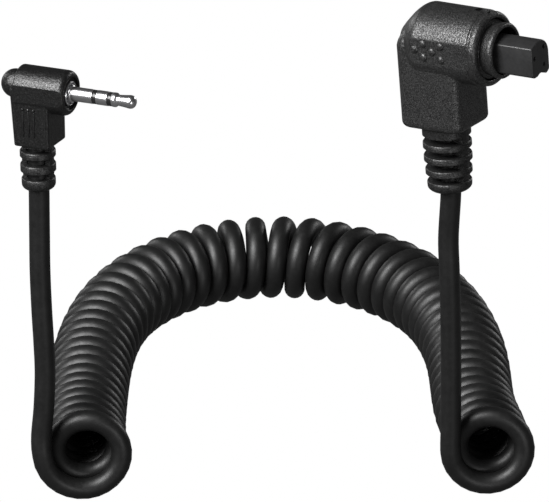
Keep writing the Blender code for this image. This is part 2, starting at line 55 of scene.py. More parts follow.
# ---- the camera ----------------------------------------------------------------------------------
CAMERA_TILT = 25.0  # degrees above the horizontal
CAMERA_FAR = 4.0  # metres from AIM
SENSOR_WIDTH = 36.0
FRAME_WIDTH = 0.09444  # what the picture's width takes in at the distance of AIM
AIM = Vector((-0.000063, 0.0, 0.028015))

camera_data = bpy.data.cameras.new("camera")
camera_data.sensor_width = SENSOR_WIDTH
camera_data.lens = SENSOR_WIDTH * CAMERA_FAR / FRAME_WIDTH
camera_data.clip_start, camera_data.clip_end = 0.1, 20.0
camera = bpy.data.objects.new("camera", camera_data)
bpy.context.scene.collection.objects.link(camera)
tilt = math.radians(CAMERA_TILT)
toward = Vector((0.0, -math.cos(tilt), math.sin(tilt)))
camera.location = AIM + toward * CAMERA_FAR
camera.rotation_euler = (-toward).to_track_quat("-Z", "Y").to_euler()
bpy.context.scene.camera = camera

# ---- the cord ------------------------------------------------------------------------------------
CORD_D = 3.57
TURN_R = 5.33  # the coil's turns, at the middle of the cord
END_Z, REST_Z, LIFT_REACH = 8.48, 7.14, 25.0  # the coil's axis is lifted at both ends
PITCH, GAP = 3.64, 3.52  # along the legs, and the least distance between turns inside a bend
FAIR = 5.0  # the spread of the blur that evens out the bend of the coil's centreline
ROUTE_STEP, TAIL_STEP = 0.25, 1.2  # the spacing of points along the coil's centreline and the tails
CREST_X, CREST_BEYOND_Y = -3.25, 60  # a turn stands straight up here, on the far side of the loop
CREST_PHASE = 115  # the top of that turn as this tilt shows it, in degrees
ROUND_UP = 0.35  # the share of a turn that is added before a count of turns is cut to a whole number
COIL_ROUTE = [
    (-32.08, 0.45), (-32.15, 3.05), (-32.6, 8.8), (-32.65, 16.7), (-32.4, 25.65), (-31.95, 35.65),
    (-31.1, 45.2), (-29.45, 54.75), (-26.55, 63.75), (-22.0, 71.5), (-16.2, 77.5), (-9.5, 81.45),
    (-2.05, 83.35), (5.6, 82.95), (13.1, 79.95), (19.8, 74.85), (25.1, 68.3), (28.95, 60.3), (31.5, 51.2),
    (32.95, 42.15), (33.6, 32.65), (34.05, 23.65), (35.2, 14.7), (36.42, 7.8), (36.68, 4.55), (36.68, 1.7),
]
JACK_TAIL = [
    (-40.12, 2.15, 49.6), (-40.06, 1.75, 42.6), (-39.8, 1.4, 35.6), (-39.48, 1.1, 29.6), (-39.28, 0.9, 24.0),
    (-39.5, 0.7, 17.5), (-39.95, 0.55, 12.0),
]
CAMERA_TAIL = [
    (29.45, 2.85, 48.6), (29.62, 2.6, 42.6), (29.82, 2.4, 36.1), (29.95, 2.15, 27.1), (29.95, 1.95, 19.0),
    (29.95, 1.8, 13.0),
]
JACK_FIRST_TURN = (7.6, 7.1, 6.7, 6.3, 5.95, 5.65, 5.42, TURN_R)  # the radius at every 45 degrees
CAMERA_FIRST_TURN = (6.7, 6.5, 6.35, 6.2, 5.98, 5.7, 5.42, TURN_R)
POINTS_PER_TURN = 28

# each plug's place, the way it points and its own upward direction
JACK_AT, JACK_POINTS, JACK_UP = (-40.72, 3.9, 75.85), (0.898, -0.436, 0.060), (-0.015, 0.067, 0.998)
CAMERA_AT, CAMERA_POINTS = (28.16, 5.14, 84.17), (0.833, -0.544, 0.102)
CAMERA_UP = (-0.028, 0.067, 0.997)
JACK_HELD = (-7.3, -18.0)  # the cord inside its plug, along the plug's Z
CAMERA_HELD = (-11.9, -26.85)


def smooth(points, spacing):
    """Points at an even spacing along a Catmull-Rom curve through these."""
    knots = [np.array(p, float) for p in points]
    knots = [2 * knots[0] - knots[1]] + knots + [2 * knots[-1] - knots[-2]]
    fine = []
    for p0, p1, p2, p3 in zip(knots, knots[1:], knots[2:], knots[3:]):
        for t in np.linspace(0, 1, 40, endpoint=False):
            fine.append(0.5 * (2 * p1 + (p2 - p0) * t + (2 * p0 - 5 * p1 + 4 * p2 - p3) * t**2
                               + (3 * p1 - p0 - 3 * p2 + p3) * t**3))
    fine = np.array(fine + [knots[-2]])
    reach = np.concatenate([[0], np.cumsum(np.linalg.norm(np.diff(fine, axis=0), axis=1))])
    even = np.linspace(0, reach[-1], max(2, round(reach[-1] / spacing)) + 1)
    return np.stack([np.interp(even, reach, fine[:, k]) for k in range(3)], axis=1)


def blurred(line, spacing, spread):
    """The line under a Gaussian of that spread, carried on straight past both ends."""
    half = int(3 * spread / spacing)
    kernel = np.exp(-0.5 * (np.arange(-half, half + 1) * spacing / spread) ** 2)
    kernel /= kernel.sum()
    steps = np.arange(1, half + 1)[:, None]
    before = line[0] - (line[1] - line[0]) * steps[::-1]
    after = line[-1] + (line[-1] - line[-2]) * steps
    long = np.concatenate([before, line, after])
    return np.stack([np.convolve(long[:, k], kernel, "valid") for k in range(3)], axis=1)


def faired(line, spacing):
    """The same line with an even bend, and without the shrinking that one blur gives."""
    once = blurred(line, spacing, FAIR)
    return once + blurred(line - once, spacing, FAIR)


def plug_axes(points, up):
    x = Vector(points).normalized()
    y = Vector(up).cross(x).normalized()
    return x, y, x.cross(y)


def held(at, points, up, reach):
    """The stretch of cord inside a plug and its boot."""
    z = plug_axes(points, up)[2]
    return [tuple(Vector(at) + z * (reach[0] + (reach[1] - reach[0]) * k / 3)) for k in range(4)]


def turn_radius(phase, total):
    """The radius at a phase, in degrees from the jack's end of the coil."""
    marks = np.arange(8) * 45.0
    near = np.interp(phase, marks, JACK_FIRST_TURN)
    far = np.interp(total - phase, marks, CAMERA_FIRST_TURN)
    return near + far - TURN_R


def coil_points():
    """The winding itself, from the left of its jack end to the left of its camera end."""
    line = faired(smooth([(x, y, 0.0) for x, y in COIL_ROUTE], ROUTE_STEP), ROUTE_STEP)
    step = np.linalg.norm(np.diff(line, axis=0), axis=1)
    reach = np.concatenate([[0], np.cumsum(step)])
    along = np.gradient(line, reach, axis=0)
    along /= np.linalg.norm(along, axis=1)[:, None]
    bend = np.linalg.norm(np.gradient(along, reach, axis=0), axis=1)
    pitch = np.maximum(PITCH, GAP / (1 - TURN_R * bend))
    rate = 1 / pitch
    turns = np.concatenate([[0], np.cumsum((rate[1:] + rate[:-1]) / 2 * step)])
    crest = int(np.argmin(np.hypot(line[:, 0] - CREST_X, np.maximum(CREST_BEYOND_Y - line[:, 1], 0))))
    upright = (CREST_PHASE - 180) / 360 % 1
    here = math.floor(turns[crest] - upright + ROUND_UP) + upright
    rest = turns[-1] - turns[crest]
    whole = math.floor(here + rest - 0.5 + ROUND_UP) + 0.5
    phase = np.where(np.arange(len(line)) < crest, turns * here / turns[crest],
                     here + (turns - turns[crest]) * (whole - here) / rest) * 360
    total = 360 * whole
    wanted = np.linspace(0, total, int(whole * POINTS_PER_TURN) + 1)
    centre = np.stack([np.interp(wanted, phase, line[:, k]) for k in range(3)], axis=1)
    ahead = np.stack([np.interp(wanted, phase, along[:, k]) for k in range(3)], axis=1)
    ahead /= np.linalg.norm(ahead, axis=1)[:, None]
    place = np.interp(wanted, phase, reach)
    from_end = np.minimum(place, reach[-1] - place)
    ease = np.clip(1 - from_end / LIFT_REACH, 0, 1)
    centre[:, 2] = REST_Z + (END_Z - REST_Z) * ease**2 * (3 - 2 * ease)
    side = np.stack([ahead[:, 1], -ahead[:, 0], np.zeros(len(ahead))], axis=1)
    radius = turn_radius(wanted, total)
    angle = np.radians(180 + wanted)
    points = centre + (radius * np.cos(angle))[:, None] * side
    points[:, 2] += radius * np.sin(angle)
    return points


def in_place(points):
    return [((x - MIDDLE[0]) * MM, (y - MIDDLE[1]) * MM, z * MM) for x, y, z in points]


coil = coil_points()
jack_held = held(JACK_AT, JACK_POINTS, JACK_UP, JACK_HELD)
camera_held = held(CAMERA_AT, CAMERA_POINTS, CAMERA_UP, CAMERA_HELD)
down = smooth(jack_held + JACK_TAIL + [tuple(coil[0]), tuple(coil[2])], TAIL_STEP)
up = smooth([tuple(coil[-3]), tuple(coil[-1])] + CAMERA_TAIL[::-1] + camera_held[::-1], TAIL_STEP)
first = int(np.argmin(np.linalg.norm(down - coil[0], axis=1)))
last = int(np.argmin(np.linalg.norm(up - coil[-1], axis=1)))
cord_line = np.concatenate([down[:first], coil, up[last + 1:]])

curve = bpy.data.curves.new("cord", "CURVE")
curve.dimensions = "3D"
curve.bevel_depth = CORD_D / 2 * MM
curve.bevel_resolution = 7
curve.use_fill_caps = True
spline = curve.splines.new("POLY")
spline.points.add(len(cord_line) - 1)
for point, place in zip(spline.points, in_place(cord_line)):
    point.co = (*place, 1.0)
spline.use_smooth = True
cord = bpy.data.objects.new("cord", curve)
bpy.context.scene.collection.objects.link(cord)

# ---- materials -----------------------------------------------------------------------------------

IOR = 1.5
NOISE_SPAN = (0.3, 0.7)  # where most of a noise's values lie
SPECK_SCALE, GLOSS_SCALE, GLINT_SCALE, GRAIN_SCALE = 5200.0, 3100.0, 4700.0, 4300.0
GLINT_SPAN = (0.40, 0.66)


def material(name, colour, roughness, metallic=0.0):
    made = bpy.data.materials.new(name)
    made.use_nodes = True
    shader = made.node_tree.nodes["Principled BSDF"]
    shader.inputs["Base Color"].default_value = (*colour, 1.0)
    shader.inputs["Roughness"].default_value = roughness
    shader.inputs["Metallic"].default_value = metallic
    shader.inputs["IOR"].default_value = IOR
    return made


def noise(made, scale, detail=2.0, roughness=0.5):
    nodes, links = made.node_tree.nodes, made.node_tree.links
    coords = nodes.new("ShaderNodeTexCoord")
    texture = nodes.new("ShaderNodeTexNoise")
    texture.inputs["Scale"].default_value = scale
    texture.inputs["Detail"].default_value = detail
    texture.inputs["Roughness"].default_value = roughness
    links.new(coords.outputs["Object"], texture.inputs["Vector"])
    return texture.outputs["Fac"]


def ranged(made, value, low, high, start, end):
    """The value between start and end, spread from low to high."""
    nodes, links = made.node_tree.nodes, made.node_tree.links
    node = nodes.new("ShaderNodeMapRange")
    node.inputs["From Min"].default_value = start
    node.inputs["From Max"].default_value = end
    node.inputs["To Min"].default_value = low
    node.inputs["To Max"].default_value = high
    links.new(value, node.inputs["Value"])
    return node.outputs["Result"]


def shade(made, value, dark, light, start=NOISE_SPAN[0], end=NOISE_SPAN[1]):
    """A base colour between two."""
    nodes, links = made.node_tree.nodes, made.node_tree.links
    ramp = nodes.new("ShaderNodeValToRGB")
    ramp.color_ramp.elements[0].position = start
    ramp.color_ramp.elements[1].position = end
    ramp.color_ramp.elements[0].color = (*dark, 1.0)
    ramp.color_ramp.elements[1].color = (*light, 1.0)
    links.new(value, ramp.inputs["Fac"])
    links.new(ramp.outputs["Color"], nodes["Principled BSDF"].inputs["Base Color"])


def bump(made, *layers):
    """Layers of (height value, depth in metres), added one on another."""
    nodes, links = made.node_tree.nodes, made.node_tree.links
    normal = None
    for value, depth in layers:
        node = nodes.new("ShaderNodeBump")
        node.inputs["Distance"].default_value = depth
        node.inputs["Strength"].default_value = 1.0
        links.new(value, node.inputs["Height"])
        if normal is not None:
            links.new(normal, node.inputs["Normal"])
        normal = node.outputs["Normal"]
    links.new(normal, nodes["Principled BSDF"].inputs["Normal"])


def rough(made, value, low, high):
    made.node_tree.links.new(
        ranged(made, value, low, high, *NOISE_SPAN),
        made.node_tree.nodes["Principled BSDF"].inputs["Roughness"],
    )


def glints(made, low, high):
    """Sparkle, as a specular level that varies. The export drops a linked specular level."""
    made.node_tree.links.new(
        ranged(made, noise(made, GLINT_SCALE, 1.0), low, high, *GLINT_SPAN),
        made.node_tree.nodes["Principled BSDF"].inputs["Specular IOR Level"],
    )


def plastic_look(name, dark, light, glint):
    """Black plastic with the fine sparkle of a spark-eroded mould."""
    made = material(name, (light,) * 3, 0.36)
    shade(made, noise(made, SPECK_SCALE, 1.0), (dark,) * 3, (light,) * 3, 0.44, 0.70)
    rough(made, noise(made, GLOSS_SCALE), 0.27, 0.43)
    glints(made, *glint)
    bump(made, (noise(made, GRAIN_SCALE, 2.0, 0.6), 0.00008), (noise(made, 1500.0, 1.0), 0.00002))
    return made


def rubber_look():
    made = material("boot_rubber", (0.007, 0.007, 0.007), 0.42)
    shade(made, noise(made, SPECK_SCALE, 1.0), (0.004, 0.004, 0.004), (0.014, 0.014, 0.014), 0.44, 0.72)
    rough(made, noise(made, GLOSS_SCALE), 0.32, 0.48)
    glints(made, 0.26, 0.72)
    bump(made, (noise(made, GRAIN_SCALE, 2.0, 0.6), 0.00007))
    return made


def cord_look():
    made = material("cord_jacket", (0.005, 0.005, 0.005), 0.44)
    broad = noise(made, 420.0, 3.0)
    shade(made, broad, (0.0035, 0.0035, 0.0035), (0.006, 0.006, 0.006))
    rough(made, noise(made, 1400.0, 3.0), 0.42, 0.51)
    made.node_tree.nodes["Principled BSDF"].inputs["Specular IOR Level"].default_value = 0.38
    bump(made, (noise(made, 2600.0, 2.0), 0.00001), (broad, 0.00001))
    return made


def insert_look():
    made = material("insert_plastic", (0.014, 0.014, 0.0143), 0.4)
    shade(made, noise(made, 300.0), (0.010, 0.010, 0.0103), (0.015, 0.015, 0.0153))
    rough(made, noise(made, 1800.0), 0.34, 0.44)
    bump(made, (noise(made, 2600.0, 2.0), 0.000012))
    return made


def metal_look(name, colour, low, high):
    made = material(name, colour, low, metallic=1.0)
    shade(made, noise(made, 900.0), tuple(0.97 * v for v in colour), colour)
    rough(made, noise(made, 900.0, 3.0), low, high)
    return made


def plain_look(name, colour, roughness):
    made = material(name, colour, roughness)
    shade(made, noise(made, 700.0), tuple(0.85 * v for v in colour), colour)
    rough(made, noise(made, 1800.0), roughness - 0.05, roughness + 0.05)
    bump(made, (noise(made, 2500.0), 0.000006))
    return made


# ---- the plugs' shapes ---------------------------------------------------------------------------

def add_object(name, bm):
    """A new object from this mesh, which is in millimetres until here."""
    bmesh.ops.scale(bm, vec=(MM, MM, MM), verts=bm.verts)
    bmesh.ops.recalc_face_normals(bm, faces=bm.faces)
    mesh = bpy.data.meshes.new(name)
    bm.to_mesh(mesh)
    bm.free()
    made = bpy.data.objects.new(name, mesh)
    bpy.context.scene.collection.objects.link(made)
    return made


def loft(name, loops):
    """A solid through loops of points with the same count each, closed by a face at both ends."""
    bm = bmesh.new()
    rows = [[bm.verts.new(point) for point in loop] for loop in loops]
    count = len(rows[0])
    for low, high in zip(rows, rows[1:]):
        for i in range(count):
            j = (i + 1) % count
            bm.faces.new((low[i], low[j], high[j], high[i]))
    bm.faces.new(rows[0])
    bm.faces.new(rows[-1])
    return add_object(name, bm)


def turned(name, profile, along="x", sides=72, centre=(0.0, 0.0)):
    """A solid of revolution. The profile is a closed outline of (distance along the axis, radius)."""
    bm = bmesh.new()
    rows = []
    for reach, radius in profile:
        row = []
        for k in range(sides if radius > 1e-6 else 1):
            turn = 2 * math.pi * k / sides
            a, b = radius * math.cos(turn) + centre[0], radius * math.sin(turn) + centre[1]
            row.append(bm.verts.new((reach, a, b) if along == "x" else (a, b, reach)))
        rows.append(row)
    for row, after in zip(rows, rows[1:] + rows[:1]):
        if len(row) == 1 and len(after) == 1:
            continue
        for k in range(sides):
            m = (k + 1) % sides
            corners = [row[k % len(row)], row[m % len(row)], after[m % len(after)], after[k % len(after)]]
            bm.faces.new(list(dict.fromkeys(corners)))
    return add_object(name, bm)


def rod(name, x0, x1, radius, along="x", sides=72, centre=(0.0, 0.0)):
    return turned(name, [(x0, 0.0), (x0, radius), (x1, radius), (x1, 0.0)], along, sides, centre)


def box(name, x, y, z):
    corners = ((x[0], y[0]), (x[1], y[0]), (x[1], y[1]), (x[0], y[1]))
    return loft(name, [[(a, b, c) for a, b in corners] for c in z])


def eased(profile, radius, steps=4):
    """The outline with each of its corners rounded off, as far as its sides allow."""
    made = []
    count = len(profile)
    for k, here in enumerate(profile):
        before, after = profile[k - 1], profile[(k + 1) % count]
        if here[1] < 1e-6:
            made.append(here)
            continue
        here = np.array(here, float)
        one, two = np.array(before) - here, np.array(after) - here
        length = np.linalg.norm(one), np.linalg.norm(two)
        reach = min(radius, 0.42 * length[0], 0.42 * length[1])
        start, stop = here + one / length[0] * reach, here + two / length[1] * reach
        for t in np.linspace(0, 1, steps + 1):
            made.append(tuple((1 - t) ** 2 * start + 2 * t * (1 - t) * here + t**2 * stop))
    return made


def rounded_rectangle(x, y, radius, z):
    """One level loop of points, at the height z."""
    steps = 8
    points = []
    corners = ((x[1], y[1], 0), (x[0], y[1], 90), (x[0], y[0], 180), (x[1], y[0], 270))
    for cx, cy, start in corners:
        ox = cx - math.copysign(radius, cx - (x[0] + x[1]) / 2)
        oy = cy - math.copysign(radius, cy - (y[0] + y[1]) / 2)
        for k in range(steps + 1):
            turn = math.radians(start + 90 * k / steps)
            points.append((ox + radius * math.cos(turn), oy + radius * math.sin(turn), z))
    return points


def rounded_block(name, x, y_half, top, bottom, corner, edge, taper, crown=0.0):
    """An upright block with round corners, a round lower edge and a top that slopes in."""
    layers = []
    if crown:
        for t in np.linspace(1, 0, 9):
            layers.append((top - 0.3 * crown + 1.3 * crown * t, 0.0, crown * (0.25 * t + 0.75 * t**2.2)))
    else:
        layers.append((top, 0.0, 0.0))
    layers.append((bottom + edge, 1.0, 0.0))
    for degrees in (15, 30, 45, 60, 75, 90):
        turn = math.radians(degrees)
        layers.append((bottom + edge * (1 - math.sin(turn)), 1.0, edge * (1 - math.cos(turn))))
    loops = []
    for z, share, inset in layers:
        rear, front, side = (v * share + inset for v in taper)
        span = (x[0] + rear, x[1] - front), (side - y_half, y_half - side)
        loops.append(rounded_rectangle(*span, max(corner - inset * 0.5, 0.15), z))
    return loft(name, loops)


def barrel(name, stations, steps=30):
    """A round body along X with two flat sides, from (x, radius, distance of the flats) stations."""
    loops = []
    for x, radius, flat in stations:
        start = math.acos(min(flat / radius, 0.9995))
        loop = []
        for base in (0, math.pi):
            for k in range(steps + 1):
                turn = base + start + (math.pi - 2 * start) * k / steps
                loop.append((x, radius * math.cos(turn), radius * math.sin(turn)))
        loops.append(loop)
    return loft(name, loops)


def combined(target, operation, *tools):
    for tool in tools:
        modifier = target.modifiers.new("step", "BOOLEAN")
        modifier.operation = operation
        modifier.solver = "EXACT"
        modifier.object = tool
        graph = bpy.context.evaluated_depsgraph_get()
        mesh = bpy.data.meshes.new_from_object(target.evaluated_get(graph))
        target.modifiers.clear()
        target.data = mesh
        bpy.data.objects.remove(tool)
    return target


def softened(target, voxel, rounds):
    """The same shape with its edges and inner corners rounded as a mould leaves them."""
    remesh = target.modifiers.new("voxels", "REMESH")
    remesh.mode = "VOXEL"
    remesh.voxel_size = voxel * MM
    relax = target.modifiers.new("relax", "SMOOTH")
    relax.factor = 0.5
    relax.iterations = rounds
    graph = bpy.context.evaluated_depsgraph_get()
    mesh = bpy.data.meshes.new_from_object(target.evaluated_get(graph))
    target.modifiers.clear()
    target.data = mesh
    return target


def merged(target, *others):
    """The target with these added as they are, as separate shells that sit in it."""
    bm = bmesh.new()
    for part in (target, *others):
        bm.from_mesh(part.data)
    bm.to_mesh(target.data)
    bm.free()
    for part in others:
        bpy.data.objects.remove(part)
    return target


def plug_frame(at, points, up):
    x, y, z = plug_axes(points, up)
    return Matrix.Translation(in_place([at])[0]) @ Matrix((x, y, z)).transposed().to_4x4()


def done(piece, look, place, nodes, body="cord_and_plugs", angle=40.0):
    """Puts the piece in its plug's frame, shades it and hides the model's nodes that it stands for."""
    piece.data.materials.clear()
    piece.data.materials.append(look)
    piece.data.transform(place)
    piece.data.shade_smooth()
    if angle:
        piece.data.set_sharp_from_angle(angle=math.radians(angle))
    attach(piece, body)
    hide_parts(*nodes)
    return piece


# ---- the jack ------------------------------------------------------------------------------------
PIN_R, SHOULDER = 1.25, 6.85
SLEEVE_END, RING_START, RING_END, TIP_START, TIP_END = 11.15, 11.9, 14.0, 14.8, 19.05
JACK_R, JACK_FLAT = 3.92, 3.62
JACK_REAR, JACK_FRONT = -2.65, 6.88
BLOCK_X, BLOCK_Y, BLOCK_BOTTOM = (-3.35, 3.9), 3.5, -9.65
DOME_R, DOME_X, DOME_LIFT = 2.5, -3.7, 0.5


def capsule(name, x, y, low, high, radius):
    """An upright rod with round ends."""
    profile = [(low - radius, 0.0)]
    profile += [(low - radius * math.cos(t), radius * math.sin(t)) for t in np.radians((30, 60, 90))]
    profile += [(high + radius * math.sin(t), radius * math.cos(t)) for t in np.radians((0, 30, 60))]
    return turned(name, profile + [(high + radius, 0.0)], "z", 16, (x, y))


def jack_body():
    x0, x1, r, flat = JACK_REAR, JACK_FRONT, JACK_R, JACK_FLAT
    stations = [(x0, r - 0.2, flat - 0.2), (x0 + 0.07, r - 0.05, flat - 0.05), (x0 + 0.2, r, flat)]
    stations += [(x1 - 1.05, r, flat), (x1 - 0.8, r - 0.03, flat), (x1 - 0.55, r - 0.11, flat - 0.03)]
    stations += [(x1 - 0.35, r - 0.22, flat - 0.08), (x1 - 0.18, r - 0.38, flat - 0.18)]
    stations += [(x1 - 0.06, r - 0.58, flat - 0.34), (x1, r - 0.85, flat - 0.58)]
    body = barrel("jack_body_visual", stations)
    block = rounded_block("block", BLOCK_X, BLOCK_Y, 0.6, BLOCK_BOTTOM, 0.5, 0.35, (0.5, 0.1, 0.1))
    combined(body, "UNION", block)
    tools = [rod("bore", 1.5, x1 + 1, 2.15), rod("recess", x1 - 0.55, x1 + 1, 2.8)]
    tools.append(rod("seat", x0 - 2, x0 + 0.04, DOME_R + 0.07, centre=(0.0, DOME_LIFT)))
    tools.append(rod("stem", x0 - 1, -1.9, 1.93, centre=(0.0, DOME_LIFT)))
    combined(body, "DIFFERENCE", *tools, rod("entry", BLOCK_BOTTOM - 1, -7.0, 1.95, "z"))
    softened(body, 0.1, 3)
    ribs = []
    for side in (-1, 1):
        for x in (-0.83, 0.2, 1.22):
            ribs.append(capsule("rib", x, side * (BLOCK_Y - 0.01), -7.5, -3.2, 0.14))
            ribs.append(capsule("dot", x, side * (BLOCK_Y + 0.01), -2.75, -2.7, 0.24))
    return merged(body, *ribs)


def dome_cap():
    profile = [(DOME_X - DOME_R, 0.0)]
    for degrees in range(6, 91, 6):
        turn = math.radians(degrees)
        profile.append((DOME_X - DOME_R * math.cos(turn), DOME_R * math.sin(turn)))
    seat = JACK_REAR - 0.03
    profile += [(seat - 0.12, DOME_R), (seat - 0.03, DOME_R - 0.03), (seat, DOME_R - 0.12)]
    profile += [(seat, 1.9), (-2.1, 1.9), (-2.1, 0.0)]
    return turned("jack_dome_visual", profile, centre=(0.0, DOME_LIFT))


def sleeve():
    s, end, r = SHOULDER, SLEEVE_END, PIN_R
    outline = [(2.9, 0.88), (2.9, 1.5), (4.9, 1.5), (4.9, 2.1), (s - 0.16, 2.1), (s, 1.98), (s, 1.86)]
    outline += [(s - 0.5, 1.8), (s - 0.5, 1.5), (s + 0.2, 1.5), (s + 0.32, 1.42), (s + 0.36, r)]
    outline += [(end, r), (end, 0.88)]
    return turned("pin_sleeve", eased(outline, 0.07), sides=96)


def insulator(name, start, stop, rear, outer, inner):
    r = PIN_R - 0.04
    outline = [(rear, inner), (rear, outer), (start, outer), (start, r), (stop, r), (stop, inner)]
    return turned(name, eased(outline, 0.03, 2))


def ring():
    a, b, r = RING_START, RING_END, PIN_R
    outline = [(1.9, 0.47), (1.9, 0.6), (a, 0.6), (a, r), (b, r), (b, 0.47)]
    return turned("pin_ring", eased(outline, 0.07), sides=96)


def tip():
    a, b, r = TIP_START, TIP_END, PIN_R
    profile = [(-0.4, 0.0), (-0.4, 0.24), (a, 0.24), (a, r - 0.06), (a + 0.03, r - 0.02), (a + 0.08, r)]
    profile += [(a + 0.58, r), (a + 0.64, r - 0.02), (a + 0.95, 0.98), (a + 1.05, 0.955), (a + 1.2, 0.96)]
    profile += [(a + 2.0, 1.03), (a + 2.75, 1.12), (a + 3.1, 1.165), (a + 3.25, 1.17), (a + 3.4, 1.155)]
    for degrees in range(15, 86, 10):
        turn = math.radians(degrees)
        profile.append((b - 0.92 + 0.92 * math.sin(turn), 0.1 + 1.06 * math.cos(turn)))
    return turned("pin_tip", profile + [(b, 0.0)], sides=96)


def boot(name, neck, rings, end, web, aside=0.0):
    """A rubber boot along Z, of rings (top, bottom, radius) with slots between them up to two webs."""
    groove, bore = 0.28, 1.92
    outline = [(neck[0], bore), (neck[0], neck[2]), (neck[1], neck[2])]
    above = neck
    for top, bottom, radius in rings:
        outline += [(above[1] - 0.1, above[2] - groove), (top + 0.1, radius - groove), (top, radius - 0.1)]
        outline += [(top - 0.16, radius), (bottom + 0.15, radius)]
        if (top, bottom, radius) != rings[-1]:
            outline.append((bottom, radius - 0.15))
        above = (top, bottom, radius)
    bottom, radius = rings[-1][1:]
    for degrees in range(12, 85, 12):
        turn = math.radians(degrees)
        inset = (radius - bore) * (1 - math.cos(turn))
        outline.append((bottom + (end - bottom) * math.sin(turn), radius - inset))
    outline += [(end, bore + 0.2), (end, bore)]
    made = turned(name, outline, "z", 96, (aside, 0.0))
    above = neck[1]
    for top, bottom, radius in rings:
        reach = neck[2] + 1.0
        for side in (-1, 1):
            y = sorted((side * web, side * reach))
            combined(made, "DIFFERENCE", box("slot", (-reach, reach), y, (top + 0.02, above - 0.02)))
        above = bottom
    return made


def build_jack():
    place = plug_frame(JACK_AT, JACK_POINTS, JACK_UP)
    done(jack_body(), JACK_PLASTIC, place, ["jack_body"], angle=0)
    done(dome_cap(), JACK_PLASTIC, place, ["jack_dome_cap"])
    done(sleeve(), CHROME, place, ["jack_sleeve_contact"])
    done(ring(), CHROME, place, ["jack_ring_contact"])
    done(tip(), CHROME, place, ["jack_tip_contact"])
    outer = insulator("pin_outer_insulator", SLEEVE_END + 0.03, RING_START - 0.03, 2.35, 0.85, 0.63)
    done(outer, INSULATOR, place, ["jack_outer_insulator"])
    inner = insulator("pin_inner_insulator", RING_END + 0.03, TIP_START - 0.03, 0.9, 0.44, 0.27)
    done(inner, INSULATOR, place, ["jack_inner_insulator"])
    neck = (BLOCK_BOTTOM - 0.04, -10.0, 2.95)
    rings = [(-10.95, -12.15, 3.08), (-13.35, -14.8, 3.06), (-15.95, -17.0, 2.92)]
    relief = boot("jack_boot", neck, rings, JACK_HELD[1], 0.8)
    done(relief, RUBBER, place, ["jack_strain_relief"], angle=38)


# ---- the camera connector ------------------------------------------------------------------------
BARREL_R, BARREL_FLAT = 6.6, 6.2
REAR_CONE = [
    (-7.4, 1.3), (-7.1, 2.0), (-6.1, 3.16), (-5.1, 4.2), (-4.1, 5.2), (-3.4, 5.8), (-2.8, 6.22),
    (-2.3, 6.48), (-1.9, 6.6),
]
CONNECTOR_BOTTOM = -14.8
BUMPS = [(-1.45, 0.3), (0.3, 1.5), (0.3, -0.9), (2.05, 0.3), (3.8, 1.5), (3.8, -0.9)]
BUMP_R = 0.76
BUMP_STEPS = [(-0.3, 1.06), (0.0, 1.0), (0.12, 0.93), (0.25, 0.78), (0.34, 0.56), (0.39, 0.3), (0.4, 0.08)]
CONTACTS = [(1.2, 1.45), (-1.75, 0.1), (1.1, -1.7)]
SPRING_X, SLIDE = (2.75, 8.1), 1.2  # the spring at rest, and how far the collar presses it


def grip_bump(x, side, z):
    """One low round bump on a flat side of the barrel."""
    loops = []
    for height, share in BUMP_STEPS:
        loop = []
        for k in range(24):
            turn = 2 * math.pi * k / 24
            across, up_by = BUMP_R * share * math.cos(turn), BUMP_R * share * math.sin(turn)
            loop.append((x + across, side * (BARREL_FLAT + height), z + up_by))
        loops.append(loop)
    return loft("bump", loops)


def key_notch(x0, x1, floor_z):
    """A cutter for the notch on top, whose far wall catches the light."""
    return box("notch", (x0, x1), (-0.2, 1.9), (floor_z, 7.2))


def connector_body():
    r, flat = BARREL_R, BARREL_FLAT
    stations = [(x, radius, min(flat, 0.9995 * radius)) for x, radius in REAR_CONE]
    stations += [(8.9, r, flat), (9.0, r - 0.05, flat - 0.02), (9.08, r - 0.2, 6.08), (9.14, 6.28, 6.03)]
    stations += [(9.3, 6.28, 6.08), (9.36, 6.36, 6.2), (9.48, 6.43, 6.3), (9.65, 6.46, 6.34)]
    stations.append((10.1, 6.46, 6.38))
    stations += [(10.3, 6.41, 6.34), (10.47, 6.3, 6.25), (10.62, 6.13, 6.1), (10.73, 5.95, 5.92)]
    stations.append((10.78, 5.75, 5.72))
    body = barrel("connector_body_visual", stations, 44)
    block = rounded_block(
        "block", (-6.42, 5.75), 5.4, 0.9, CONNECTOR_BOTTOM, 1.8, 1.1, (0.1, -0.12, 0.05), crown=3.2
    )
    combined(body, "UNION", block)
    tools = [rod("mouth", 9.4, 12.0, 5.38, sides=96), rod("bore", 4.2, 9.8, 5.65, sides=96)]
    combined(body, "DIFFERENCE", *tools, rod("entry", CONNECTOR_BOTTOM - 1, -11.6, 1.95, "z"))
    softened(body, 0.15, 3)
    combined(body, "DIFFERENCE", key_notch(7.2, 9.3, 6.0), key_notch(9.0, 11.6, 5.75))
    bumps = [grip_bump(x, side, z) for side in (-1, 1) for x, z in BUMPS]
    return merged(body, *bumps)


def lock_collar():
    a, b = 8.4, 13.1
    outline = [(a, 4.6), (a, 5.5), (a + 0.9, 5.5), (a + 0.9, 5.15), (b - 2.8, 5.15), (b - 2.7, 4.42)]
    outline += [(b - 1.05, 4.8), (b - 0.7, 4.88), (b - 0.35, 4.83), (b - 0.1, 4.66)]
    outline += [(b, 4.5), (b, 4.2), (b - 0.12, 4.08), (a + 1.4, 4.08), (a + 1.4, 4.6)]
    return turned("lock_collar_visual", eased(outline, 0.14, 4), sides=120)


